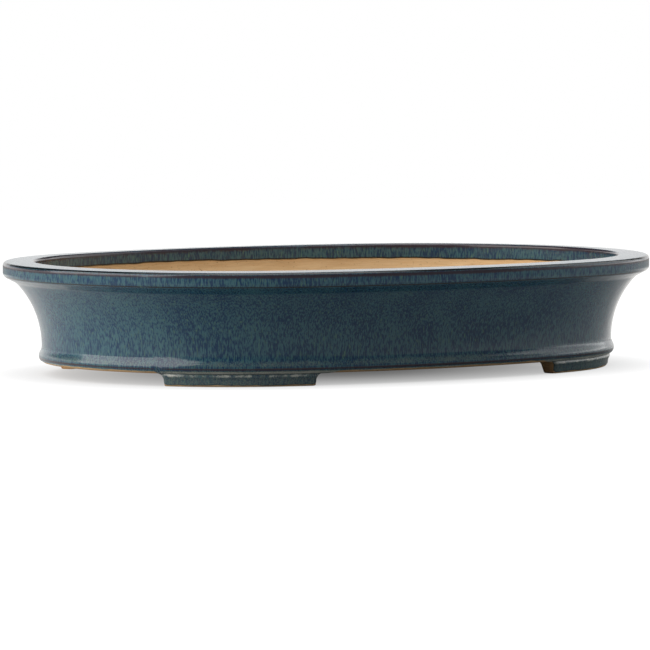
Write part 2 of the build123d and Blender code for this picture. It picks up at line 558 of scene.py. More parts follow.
@dataclass(frozen=True)
class BuffClay:
    """Bare fired clay: buff, dry, with fine wiping lines, pores and iron specks."""

    pale: tuple[float, float, float] = shade(212, 184, 142)
    warm: tuple[float, float, float] = shade(197, 164, 121)
    toasted: tuple[float, float, float] = shade(140, 92, 44)
    speck: tuple[float, float, float] = shade(110, 76, 45)
    cloud_size: float = 22 * MM
    line_size: float = 0.9 * MM
    line_stretch: float = 18.0
    line_depth: float = 0.12 * MM
    speck_size: float = 1.3 * MM
    pore_size: float = 0.7 * MM
    pore_depth: float = 0.16 * MM
    roughness: float = 0.82
    sheen_level: float = 0.25

    def build(self) -> bpy.types.Material:
        """The clay's material.

        Returns:
            Two buffs mixed by clouds and long level lines, darker specks where a fine noise peaks,
            and a toasted brown where the mesh's `toast` mark says the bare clay meets the glaze.
        """
        board = Board(bpy.data.materials.new("buff_clay"), "OutputMaterial")
        place = board.place()
        level = board.place((1 / self.line_stretch, 1 / self.line_stretch, 1.0))
        clouds = board.noise(place, self.cloud_size, 4.0)
        lines = board.noise(level, self.line_size, 3.0, 0.6)
        pores = board.noise(place, self.pore_size, 2.0, 0.7)
        share = board.weighed(clouds, 0.25, lines)
        colour = board.blend(board.remap(share, 0.30, 0.70), self.warm, self.pale)
        specks = board.remap(board.noise(place, self.speck_size, 2.0), 0.62, 0.74, 0.0, 0.55)
        colour = board.blend(specks, colour, self.speck)
        colour = board.blend(board.mark("toast"), colour, self.toasted)
        ridges = board.bump(lines, self.line_depth)
        surface = {
            "Base Color": colour,
            "Roughness": self.roughness,
            "Specular IOR Level": self.sheen_level,
            "Normal": board.bump(pores, self.pore_depth, ridges),
        }
        board.finish(board.node("BsdfPrincipled", surface))
        return board.owner


@dataclass(frozen=True)
class SeaGlaze:
    """Thick glossy glaze that ran a little: navy and teal mottle that breaks to brown on edges.

    The mesh's marks drive it. `brown` is where the glaze is thin over an edge. `pale` is partly a
    milky grey-green film and partly painted reflection and highlight: on the bead's upper flank,
    below the crest where the band faces the floor, and high on the inner side. `pool_and_shade` is
    where the glaze gathered thick and dark, and also painted shade under the lip's corner and a
    painted dark reflection along the lip's top edge. `painted_glint` is painted highlight on the
    feet's shoulders and painted reflection low on the band.
    """

    navy: tuple[float, float, float] = shade(14, 50, 80)
    teal: tuple[float, float, float] = shade(56, 94, 104)
    moss: tuple[float, float, float] = shade(74, 108, 92)
    # Milky grey-green film, also laid on as painted sheen where the glaze mirrors the floor and
    # lights.
    film_and_sheen: tuple[float, float, float] = shade(108, 120, 112)
    brown: tuple[float, float, float] = shade(48, 38, 46)
    dark: tuple[float, float, float] = shade(7, 12, 12)
    # Painted highlight colour: bright where the glaze mirrors the lit studio, on the feet's shoulders
    # and low on the band.
    painted_glint: tuple[float, float, float] = shade(178, 182, 172)
    streak_size: float = 0.74 * MM
    streak_stretch: float = 5.6
    cloud_size: float = 18 * MM
    fleck_size: float = 0.9 * MM
    curd_size: float = 0.8 * MM
    curd_depth: float = 0.016 * MM
    swell_size: float = 9 * MM
    swell_depth: float = 0.16 * MM
    roughness: float = 0.17
    index: float = 1.5

    def build(self) -> bpy.types.Material:
        """The glaze's material.

        Returns:
            Navy and teal mixed by drawn-out vertical noise over broad clouds, with mossy flecks,
            then each marked zone laid over with a ragged edge, under a faint rippled gloss.
        """
        board = Board(bpy.data.materials.new("sea_glaze"), "OutputMaterial")
        place = board.place()
        run = board.place((1.0, 1.0, 1 / self.streak_stretch))
        streaks = board.noise(run, self.streak_size, 2.0, 0.6)
        clouds = board.noise(place, self.cloud_size, 2.0, 0.5)
        curds = board.noise(place, self.curd_size, 2.0, 0.6)
        share = board.weighed(streaks, 0.80, clouds)
        colour = board.blend(board.remap(share, 0.44, 0.56), self.navy, self.teal)
        flecks = board.remap(board.noise(run, self.fleck_size, 2.0), 0.58, 0.72, 0.0, 0.75)
        colour = board.blend(flecks, colour, self.moss)
        ragged = board.math("MULTIPLY", board.math("SUBTRACT", curds, 0.5), 0.9)
        # Each mark lays its colour over the mottle. Part of it is painted light: sheen in the milky
        # film, shade and dark reflection among the dark pools, and highlights in the bright mark.
        for name, tint, reach in (
            ("pale", self.film_and_sheen, 0.9),
            ("brown", self.brown, 0.95),
            ("painted_glint", self.painted_glint, 0.9),
            ("pool_and_shade", self.dark, 1.0),
        ):
            zone = board.mark(name)
            strayed = board.math("MULTIPLY", ragged, board.remap(zone, 0.0, 0.4))
            edge = board.math("ADD", zone, strayed)
            colour = board.blend(board.remap(edge, 0.2, 0.9, 0.0, reach), colour, tint)
        swell = board.bump(board.noise(place, self.swell_size, 2.0), self.swell_depth)
        surface = {
            "Base Color": colour,
            "Roughness": self.roughness,
            "IOR": self.index,
            "Normal": board.bump(curds, self.curd_depth, swell),
        }
        board.finish(board.node("BsdfPrincipled", surface))
        return board.owner


@dataclass
class Finishes:
    """The two finishes, built once and shared by every piece."""

    clay: bpy.types.Material = field(default_factory=lambda: BuffClay().build())
    glaze: bpy.types.Material = field(default_factory=lambda: SeaGlaze().build())

    def dress(self, piece: bpy.types.Object, slot: Slot, *nodes: str) -> bpy.types.Object:
        """Gives a piece its finish and its place in the frame.

        Args:
            piece: the finished mesh object.
            slot: which of the two finishes it takes.
            nodes: the CAD nodes that it stands for.

        Returns:
            The piece.
        """
        piece.data.materials.clear()
        piece.data.materials.append(self.clay if slot is Slot.CLAY else self.glaze)
        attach(piece, BODY)
        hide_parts(*nodes)
        log.info("%s: %d faces, for %s", piece.name, len(piece.data.polygons), ", ".join(nodes))
        return piece


# ----------------------------------------------------------------------------- the pot


@dataclass(frozen=True)
class Section:
    """The section of the pot's side, as a line from the band's underside, up and over the lip.

    Points are (out, height): out is the distance outward from the lip's outermost line, so it is
    never positive, and height is above the ground.
    """

    top: float
    ground_gap: float
    floor_top: float
    joint_inset: float = 38 * MM
    crest_inset: float = 21.3 * MM
    crest_height: float = 11 * MM
    upper_radius: float = 5 * MM
    hollow_radius: float = 4 * MM
    waist_inset: float = 23 * MM
    waist_height: float = 17 * MM
    flare_radius: float = 54 * MM
    wall: float = 7.5 * MM
    under_lip_slope: float = math.radians(25)
    under_lip_radius: float = 6 * MM
    lip_corner_height: float = 58.2 * MM
    lip_low_radius: float = 3.2 * MM
    lip_top_radius: float = 2.2 * MM
    lip_inner_radius: float = 1.5 * MM
    lip_width: float = 18.5 * MM
    lip_fall: float = 0.45 * MM
    inner_turn_radius: float = 12 * MM
    floor_radius: float = 5 * MM

    def line(self) -> Array:
        """The whole line, from the floor's joint underneath to the floor's joint inside.

        Returns:
            Straight spans and arcs, with each joint rounded to its own radius.
        """
        low_radius = self.crest_height - self.ground_gap
        low_centre = (-self.crest_inset - low_radius, self.crest_height)
        upper_centre = (-self.crest_inset - self.upper_radius, self.crest_height)
        turn = math.acos((-self.waist_inset - upper_centre[0]) / self.upper_radius)
        band_top = (-self.waist_inset, self.crest_height + self.upper_radius * math.sin(turn))
        centre = np.array([self.flare_radius - self.waist_inset, self.waist_height])
        corner = np.array([0.0, self.lip_corner_height])
        slope = -np.array([math.cos(self.under_lip_slope), math.sin(self.under_lip_slope)])
        away = corner - centre
        half = float(slope @ away)
        reach = math.sqrt(half**2 + self.flare_radius**2 - float(away @ away)) - half
        foot = corner + slope * reach
        foot_angle = math.atan2(foot[1] - centre[1], foot[0] - centre[0])
        inner_radius = self.flare_radius + self.wall
        inner_angle = math.acos((-self.lip_width - centre[0]) / inner_radius)
        floor_angle = math.pi + math.asin((self.waist_height - self.floor_top) / inner_radius)
        inner = arc(centre, inner_radius, inner_angle, floor_angle)
        spans = [
            straight((-self.joint_inset, self.ground_gap), (low_centre[0], self.ground_gap)),
            arc(low_centre, low_radius, -math.pi / 2, 0.0),
            arc(upper_centre, self.upper_radius, 0.0, turn),
            straight(band_top, (-self.waist_inset, self.waist_height)),
            arc(centre, self.flare_radius, math.pi, foot_angle),
            straight(foot, corner),
            straight(corner, (0.0, self.top - self.lip_fall)),
            straight((0.0, self.top - self.lip_fall), (-self.lip_width, self.top)),
            straight((-self.lip_width, self.top), inner[0]),
            inner,
            straight(inner[-1], (-self.joint_inset, self.floor_top)),
        ]
        radii = [
            0.0,
            0.0,
            self.hollow_radius,
            0.0,
            self.under_lip_radius,
            self.lip_low_radius,
            self.lip_top_radius,
            self.lip_inner_radius,
            self.inner_turn_radius,
            self.floor_radius,
        ]
        return tidy(joined(spans, radii))

    def crossing(self, line: Array, height: Array | float, inside: bool) -> Array:
        """How far along the section's line it crosses each height.

        Args:
            line: the section's line, or one set off from it.
            height: the height or heights.
            inside: whether to look on the line's inner side, and not its outer.

        Returns:
            The distance along the line, one for each height.
        """
        s = along(line)
        peak = int(np.argmax(line[:, 1] + line[:, 0] * 1e-3))
        if inside:
            return np.interp(-np.asarray(height), -line[peak:, 1], s[peak:])
        rising = np.maximum.accumulate(line[: peak + 1, 1])
        return np.interp(height, rising + s[: peak + 1] * 1e-9, s[: peak + 1])


def tidy(line: Array) -> Array:
    """The line without points that repeat the one before."""
    keep = np.concatenate([[True], np.linalg.norm(np.diff(line, axis=0), axis=1) > 1e-8])
    return line[keep]


def line_normals(line: Array) -> Array:
    """The unit normals on the line's right-hand side, which is outside the section.

    Args:
        line: the points.

    Returns:
        The line's slope at each point, turned a quarter to the right, at unit length.
    """
    slope = np.gradient(line, along(line), axis=0)
    normals = np.stack([slope[:, 1], -slope[:, 0]], 1)
    return normals / np.linalg.norm(normals, axis=1, keepdims=True)


@dataclass
class Pot:
    """Everything that the pot's pieces share: its plan, its section and its finishes."""

    oval: Oval
    section: Section
    finishes: Finishes
    front_foot: tuple[float, float] = (35.2, 76.4)
    back_foot: tuple[float, float] = (54.5, 82.1)

    @classmethod
    def from_frame(cls) -> "Pot":
        """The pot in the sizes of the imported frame.

        Returns:
            The pot, with its oval as long and wide as the CAD box and its floor at the CAD's.
        """
        size = CAD_HIGH - CAD_LOW
        floor_low, floor_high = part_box("floor")
        section = Section(top=CAD_HIGH.z, ground_gap=floor_low.z, floor_top=floor_high.z)
        return cls(Oval(length=size.x, width=size.y), section, Finishes())

    def feet(self) -> dict[str, tuple[float, float]]:
        """Each foot's stretch of the oval, as the directions of its first and last normals.

        Returns:
            Degrees from the right tip, turning left. The front pair stands wide and the back
            pair closer together, and left mirrors right.
        """
        tip, side = self.front_foot
        back_tip, back_side = self.back_foot
        return {
            "foot_back_right": (back_tip, back_side),
            "foot_back_left": (180 - back_side, 180 - back_tip),
            "foot_front_left": (180 + tip, 180 + side),
            "foot_front_right": (360 - side, 360 - tip),
        }


@dataclass
class ClayRings:
    """The clay band, wall and rim: three rings stacked on level joints."""

    pot: Pot
    under_glaze: float = 0.5 * MM
    bare_height: float = 10 * MM
    wall_foot: float = 17 * MM
    rim_foot: float = 57.5 * MM
    toast_reach: float = 1.6 * MM
    toast_inset: float = 30 * MM
    toast_share: float = 0.5

    def clay_line(self) -> Array:
        """The section's line, drawn in by the skin's thickness where glaze covers it.

        Returns:
            The points. The skin comes off between the band's bare foot and the lip's inner edge,
            easing in and out.
        """
        line = self.pot.section.line()
        s = along(line)
        low = self.pot.section.crossing(line, self.bare_height, inside=False)
        lip_edge = self.pot.section.crossing(line, self.pot.section.top - 2 * MM, inside=True)
        share = smooth_step(s, low, low + 3 * MM)
        share = share * (1 - smooth_step(s, lip_edge - 4 * MM, lip_edge))
        return line - line_normals(line) * (self.under_glaze * share)[:, None]

    def ring(self, name: str, loop: Array, count: int) -> bpy.types.Object:
        """One closed ring of clay.

        Args:
            name: the node that it stands for.
            loop: the section's closed loop, anticlockwise with the pot's middle to the left.
            count: the points that the loop is resampled to.

        Returns:
            The dressed piece.
        """
        points, normals, _ = self.pot.oval.stations()
        closed = np.concatenate([loop, loop[:1]])
        at = evenly(closed, count + 1, 4 * MM)[:-1]
        s = along(closed)
        corners = s[np.concatenate([[0], np.nonzero(turns_sharply(closed))[0]])]
        nearest = np.abs(at[:, None] - corners[None, :]).argmin(0)
        at[nearest] = corners
        out, height = (np.interp(at, s, closed[:, k]) for k in (0, 1))
        rows = len(points)
        grid = swept(points, normals, np.tile(out, (rows, 1)), np.tile(height, (rows, 1)))
        above = np.abs(height - self.pot.section.ground_gap)
        near_glaze = 1 - smooth_step(above, 0.0, self.toast_reach)
        toast = np.tile(self.toast_share * near_glaze * (out > -self.toast_inset), (rows, 1))
        faces = grid_faces(rows, count, True, True)[:, ::-1]
        piece = make_object("clay_" + name, grid.reshape(-1, 3), faces.tolist(), {"toast": toast})
        return self.pot.finishes.dress(piece, Slot.CLAY, name)

    def build(self) -> list[bpy.types.Object]:
        """Cuts the clay's section at the two joints and carries the three loops round.

        Returns:
            The band, the wall and the rim.
        """
        line = self.clay_line()
        length = along(line)[-1]
        section = self.pot.section
        outer = [section.crossing(line, h, inside=False) for h in (self.wall_foot, self.rim_foot)]
        inner = [section.crossing(line, h, inside=True) for h in (self.wall_foot, self.rim_foot)]
        band = np.concatenate([cut(line, 0, outer[0]), cut(line, inner[0], length)])
        wall = np.concatenate([cut(line, outer[0], outer[1]), cut(line, inner[1], inner[0])])
        rim = cut(line, outer[1], inner[1])
        return [
            self.ring("base_band", band, 90),
            self.ring("wall", wall, 110),
            self.ring("rim", rim, 90),
        ]


def turns_sharply(line: Array, degrees: float = 35.0) -> NDArray[np.bool_]:
    """Which points of a line are corners.

    Args:
        line: the points.
        degrees: a corner folds by more than this.

    Returns:
        True for each corner. The two end points never are.
    """
    steps = np.diff(line, axis=0)
    steps /= np.linalg.norm(steps, axis=1, keepdims=True)
    fold = np.degrees(np.arccos(np.clip((steps[1:] * steps[:-1]).sum(1), -1, 1)))
    return np.concatenate([[False], fold > degrees, [False]])


@dataclass
class BodyGlaze:
    """The glaze coat over band, wall and lip, ending in a wavy line inside.

    The coat is a closed skin. Its outer side follows the section's line, and its ends roll over
    onto the clay. Its hidden side lies inside the clay. The fields named for a line or a face say
    where a marked zone peaks and how wide it is: below the lip's top for the lip and the inner
    side, and above the band's crest, the lip's corner or the ground gap for the rest.
    """

    pot: Pot
    lift: float = 0.28 * MM
    sunk: float = 0.9 * MM
    roll: float = 0.55 * MM
    tuck: float = 0.35 * MM
    foot_gap: float = 1.1 * MM
    foot_reach: float = 4.0 * MM
    foot_ease: float = 2.2
    depth: float = 8.0 * MM
    deepest_extra: float = 1.9 * MM
    deepest_turn: float = 0.40
    columns: int = 164
    back_columns: int = 36
    lip_line: tuple[float, float] = (2.1 * MM, 1.15 * MM)
    inner_line: tuple[float, float] = (1.2 * MM, 1.4 * MM)
    crest_line: tuple[float, float] = (-0.75 * MM, 0.65 * MM)
    lip_face: tuple[float, float] = (3.6 * MM, 2.4 * MM)
    inner_face: tuple[float, float] = (4.2 * MM, 1.8 * MM)
    # The corner line darkens partly as painted shade; the edge line is a painted dark reflection.
    corner_line: tuple[float, float] = (0.1 * MM, 0.40 * MM)
    edge_line: tuple[float, float] = (0.5 * MM, 0.6 * MM)
    glint_line: tuple[float, float] = (0.9 * MM, 0.9 * MM)

    def end_depth(self, turn: Array) -> Array:
        """How far below the rim the glaze ends inside.

        Args:
            turn: the place round the oval, from 0 to 2 pi.

        Returns:
            The depth, plus a swell that peaks at one place, plus small waves.
        """
        deep = self.deepest_extra * ((1 + np.cos(turn - self.deepest_turn)) / 2) ** 5
        waves = {2: 0.16, 3: 0.14, 7: 0.12, 13: 0.10, 29: 0.10, 47: 0.09, 83: 0.08}
        return self.depth + deep + ripple(turn, waves, 7) * MM

    def start_height(self, turn: Array) -> Array:
        """How far above the ground the glaze starts on the band, at each place round the oval."""
        waves = {4: 0.10, 11: 0.10, 23: 0.09, 41: 0.08, 67: 0.07, 103: 0.05}
        return self.pot.section.ground_gap + self.foot_gap + ripple(turn, waves, 11) * MM

    def over_feet(self, normals: Array) -> Array:
        """Where the coat runs down to meet a foot's own.

        Args:
            normals: the plan line's outward unit normals.

        Returns:
            1 above each foot and 0 between the feet, eased at both ends.
        """
        angle = np.degrees(np.arctan2(normals[:, 1], normals[:, 0])) % 360
        spans = [
            smooth_step(angle, start - self.foot_ease, start)
            * (1 - smooth_step(angle, end, end + self.foot_ease))
            for start, end in self.pot.feet().values()
        ]
        return np.maximum.reduce(spans)

    def marks(
        self, out: Array, height: Array, inside: Array, turn: Array, end: Array
    ) -> dict[str, Array]:
        """Where the glaze is thin, milky or pooled, and where shade, sheen and highlights are
        painted.

        Args:
            out: each point's distance outward.
            height: its height.
            inside: 1 on the pot's inner side and 0 on the outer side.
            turn: its place round the oval.
            end: its distance from the nearest end of the coat.

        Returns:
            The four marks by name.
        """
        top, gap = self.pot.section.top, self.pot.section.ground_gap
        crest = self.pot.section.crest_height
        corner = self.pot.section.lip_corner_height
        outside = 1 - inside
        fall = self.pot.section.lip_fall * (1 + out / self.pot.section.lip_width)
        below_top = top - np.maximum(fall, 0.0) - height
        wander = ripple(turn, {3: 0.20, 8: 0.15, 19: 0.12, 37: 0.10, 71: 0.08}, 3)
        lip_line = hump(below_top, *self.lip_line)
        inner_line = (0.25 + 0.65 * hump(below_top, *self.inner_line)) * inside
        crest_line = hump(height - crest, *self.crest_line) * outside
        brown = np.maximum.reduce([lip_line * outside, inner_line, crest_line])
        brown *= 1 + 0.6 * wander
        # Partly painted reflection: the milky film on the bead's upper flank also stands for the
        # panels and sky mirrored there.
        flank = smooth_step(height, crest - 0.2 * MM, crest + 1.0 * MM)
        flank *= 1 - smooth_step(height, crest + 2.0 * MM, crest + 6.5 * MM + 1.5 * wander * MM)
        # Painted reflection: below the crest the band faces the floor, and this full milky film
        # stands for the lit floor mirrored in it.
        foot = 1 - smooth_step(height, crest - 2.2 * MM, crest - 1.3 * MM)
        lip_face = 0.24 * hump(height - corner, *self.lip_face)
        # Painted highlight: the milky film high on the inner side stands for soft light mirrored
        # there.
        inner_face = 0.24 * hump(below_top, *self.inner_face) * inside
        outer = np.maximum.reduce([0.42 * flank, foot, lip_face]) * outside
        pale = np.maximum(outer, inner_face)
        pale *= 1 + 0.7 * wander
        pool_and_shade = (1 - smooth_step(end, 0.7 * MM, 1.6 * MM)) * inside
        # Partly painted shade: a dark line at the lip's lower corner, where glaze gathers and shade
        # falls under the lip.
        corner_line = hump(height - corner, *self.corner_line) * outside
        # Painted dark reflection: a thin dark line just over the lip's outer top edge.
        edge_line = 0.95 * hump(below_top, *self.edge_line)
        edge_line = edge_line * smooth_step(out, -2.0 * MM, -1.2 * MM)
        pool_and_shade = np.maximum.reduce([pool_and_shade, corner_line, edge_line])
        # Painted reflection: a bright line low on the band's underside, where it faces the lit floor.
        painted_glint = hump(height - gap, *self.glint_line) * outside * (0.70 + 0.5 * wander)
        named = (("brown", brown), ("pale", pale), ("pool_and_shade", pool_and_shade), ("painted_glint", painted_glint))
        return {name: np.clip(value, 0, 1) for name, value in named}

    def build(self) -> bpy.types.Object:
        """The coat.

        The outer side is the section's line from the band's foot to the wavy end inside, lifted
        off it, and the lift falls to nothing at each end as a quarter circle does. On the lip's
        face and top the coat has no lift, so that the pot keeps its size.

        Returns:
            The dressed piece.
        """
        section = self.pot.section
        line = section.line()
        s = along(line)
        normal = line_normals(line)
        points, normals, turn = self.pot.oval.stations()

        low = section.crossing(line, self.start_height(turn), inside=False)
        low = low - self.foot_reach * self.over_feet(normals)
        high = section.crossing(line, section.top - self.end_depth(turn), inside=True)
        nominal = cut(line, low.mean(), high.mean())
        on_flare = smooth_step(nominal[:, 1], 16 * MM, 19 * MM)
        on_flare = on_flare * (1 - smooth_step(nominal[:, 1], 54 * MM, 57 * MM))
        share = evenly(nominal, self.columns, 3 * MM, 1 - 0.75 * on_flare) / along(nominal)[-1]
        back_share = evenly(nominal, self.back_columns, 8 * MM)[::-1] / along(nominal)[-1]
        at = low[:, None] + (high - low)[:, None] * share[None, :]
        end = np.minimum(at - low[:, None], high[:, None] - at)

        out, height, normal_out, normal_up = (
            np.interp(at, s, a) for a in (line[:, 0], line[:, 1], normal[:, 0], normal[:, 1])
        )
        rolled = np.sqrt(np.clip(1 - (1 - np.clip(end / self.roll, 0, 1)) ** 2, 0, 1))
        lip_low = section.crossing(line, section.lip_corner_height - 1 * MM, inside=False)
        lip_end = section.crossing(line, section.top - 0.8 * MM, inside=True)
        on_lip = smooth_step(at, lip_low - 6 * MM, lip_low)
        on_lip = on_lip * (1 - smooth_step(at, lip_end - 1.5 * MM, lip_end + 1 * MM))
        lift = self.lift * (1 - on_lip) * rolled - self.tuck * (1 - rolled)
        inside = smooth_step(at, lip_end - 3 * MM, lip_end)

        back_at = low[:, None] + (high - low)[:, None] * back_share[None, :]
        back_out, back_height, back_normal_out, back_normal_up = (
            np.interp(back_at, s, a) for a in (line[:, 0], line[:, 1], normal[:, 0], normal[:, 1])
        )
        sunk_out = back_out - self.sunk * back_normal_out
        sunk_up = back_height - self.sunk * back_normal_up
        grid_out = np.concatenate([out + lift * normal_out, sunk_out], 1)
        grid_up = np.concatenate([height + lift * normal_up, sunk_up], 1)
        marks = self.marks(out, height, inside, np.tile(turn[:, None], (1, self.columns)), end)
        blank = np.zeros((len(turn), self.back_columns))
        marks = {name: np.concatenate([value, blank], 1) for name, value in marks.items()}
        vertices = swept(points, normals, grid_out, grid_up).reshape(-1, 3)
        faces = grid_faces(len(turn), self.columns + self.back_columns, True, True)[:, ::-1]
        piece = make_object("glaze_body", vertices, faces.tolist(), marks, crease=60)
        return self.pot.finishes.dress(piece, Slot.GLAZE, "body_glaze")


@dataclass
class Floor:
    """The floor slab, with two drain holes and four small holes for tying wires."""

    pot: Pot
    drain_radius: float = 18 * MM
    drain_spacing: float = 160 * MM
    tie_radius: float = 3 * MM
    tie_spacing: tuple[float, float] = (236 * MM, 96 * MM)
    edge_radius: float = 1.0 * MM
    tie_edge_radius: float = 0.5 * MM
    mesh_size: float = 3.2 * MM
    ring_steps: tuple[float, ...] = (0.0, 0.08, 0.3, 0.62, 1.0, 1.7)
    swell_depth: float = 0.12 * MM
    swell_lengths: tuple[float, float] = (31 * MM, 23 * MM)

    def holes(self) -> list[tuple[float, float, float, float]]:
        """The holes, drains first.

        Returns:
            Each hole's middle, its radius and the radius of its rounded edge.
        """
        aside = self.drain_spacing / 2
        drains = [(x * aside, 0.0, self.drain_radius, self.edge_radius) for x in (-1, 1)]
        across, deep = self.tie_spacing
        ties = [
            (x * across / 2, y * deep / 2, self.tie_radius, self.tie_edge_radius)
            for x in (-1, 1)
            for y in (-1, 1)
        ]
        return drains + ties

    def sheet(self) -> tuple[Array, NDArray[np.int64]]:
        """A flat sheet of triangles cut to the floor's outline and holes.

        Returns:
            The points and the triangles. Rings of points round each hole carry its rounded edge.
        """
        points, normals, _ = self.pot.oval.stations()
        outline = (points - self.pot.section.joint_inset * normals)[::2]
        borders, extra = [outline], []
        for x, y, radius, edge in self.holes():
            count = 72 if radius > 10 * MM else 28
            for step in self.ring_steps:
                circle = arc((x, y), radius + edge * step, 0.0, 2 * math.pi, count + 1)[:-1]
                (borders if step == 0.0 else extra).append(circle)
        low, high = outline.min(0), outline.max(0)
        across, deep = (np.arange(low[k], high[k], self.mesh_size) for k in (0, 1))
        field_points = np.stack(np.meshgrid(across, deep), -1).reshape(-1, 2)
        jitter = np.random.default_rng(5).uniform(-0.3, 0.3, field_points.shape) * self.mesh_size
        field_points = field_points + jitter
        clear = np.ones(len(field_points), bool)
        for x, y, radius, edge in self.holes():
            gap = np.hypot(field_points[:, 0] - x, field_points[:, 1] - y)
            clear &= gap > radius + 2 * edge + 0.5 * MM
        distance = np.linalg.norm(field_points[:, None, :] - outline[None, ::4, :], axis=2).min(1)
        inside = np.hypot(*(field_points / (high - self.mesh_size)).T) < 1.06
        clear &= (distance > self.mesh_size) & inside & self.within(field_points, outline)
        all_points = np.concatenate(borders + extra + [field_points[clear]])
        loops, start = [], 0
        for border in borders:
            loops.append(np.arange(start, start + len(border)))
            start += len(border)
        edges = [(int(a), int(b)) for loop in loops for a, b in zip(loop, np.roll(loop, -1))]
        result = delaunay_2d_cdt([Vector(p) for p in all_points], edges, [], 0, 1e-9)
        made = np.array([tuple(v) for v in result[0]])
        triangles = np.array(result[2])
        middle = made[triangles].mean(1)
        kept = self.within(middle, outline)
        for x, y, radius, _ in self.holes():
            kept &= np.hypot(middle[:, 0] - x, middle[:, 1] - y) > radius * 0.995
        return made, triangles[kept]

    def within(self, points: Array, outline: Array) -> NDArray[np.bool_]:
        """Which points lie inside a closed outline that bulges all round.

        Args:
            points: the points.
            outline: the outline, round the origin.

        Returns:
            True for a point nearer the origin than the outline is in the point's direction.
        """
        angle = np.arctan2(outline[:, 1], outline[:, 0])
        order = np.argsort(angle)
        reach = np.hypot(outline[:, 0], outline[:, 1])[order]
        direction = np.arctan2(points[:, 1], points[:, 0])
        limit = np.interp(direction, angle[order], reach, period=2 * math.pi)
        return np.hypot(points[:, 0], points[:, 1]) < limit - 1e-6

    def drop(self, points: Array) -> Array:
        """How far the surface falls away at the holes' rounded edges.

        Args:
            points: places on the slab.

        Returns:
            The fall at each. At a distance d past a hole's wall, within the edge's radius r, it is
            r - sqrt(r^2 - (r - d)^2).
        """
        fallen = np.zeros(len(points))
        for x, y, radius, edge in self.holes():
            gap = np.clip(np.hypot(points[:, 0] - x, points[:, 1] - y) - radius, 0, edge)
            squared = np.clip(edge**2 - (edge - gap) ** 2, 0, None)
            fallen = np.maximum(fallen, edge - np.sqrt(squared))
        return fallen

    def build(self) -> bpy.types.Object:
        """The slab: the sheet above, its mirror below and walls along every open side.

        The top is wiped by hand, so it rises and falls a little on long waves.

        Returns:
            The dressed piece.
        """
        points, triangles = self.sheet()
        count = len(points)
        section = self.pot.section
        fallen = self.drop(points)
        rim_gap = 1 - np.hypot(*(points / np.abs(points).max(0)).T)
        across, deep = self.swell_lengths
        swell = np.sin(points[:, 0] / across) * np.sin(points[:, 1] / deep + 1.0)
        swell = self.swell_depth * swell * smooth_step(rim_gap, 0.02, 0.2)
        top = section.floor_top - fallen + np.minimum(swell, 0.0)
        bottom = section.ground_gap + fallen
        vertices = np.concatenate([np.column_stack([points, z]) for z in (top, bottom)])
        sides = np.concatenate([triangles[:, [k, (k + 1) % 3]] for k in range(3)])
        twins = np.isin(sides[:, 0] * count + sides[:, 1], sides[:, 1] * count + sides[:, 0])
        a, b = sides[~twins].T
        walls = np.stack([b, a, a + count, b + count], 1)
        faces = [*triangles.tolist(), *(triangles[:, ::-1] + count).tolist(), *walls.tolist()]
        marks = {"toast": np.zeros(len(vertices))}
        piece = make_object("clay_floor", vertices, faces, marks)
        return self.pot.finishes.dress(piece, Slot.CLAY, "floor")


def ladder(first: int, count: int) -> NDArray[np.int64]:
    """Quads that close a loop of points whose two halves mirror each other.

    Args:
        first: the number of the loop's first point.
        count: how many points it has.

    Returns:
        Point i joined to i+1 and to their mirror points, counted back from the loop's end.
    """
    i = np.arange(count // 2 - 1)
    return first + np.stack([i, i + 1, count - 2 - i, count - 1 - i], 1)


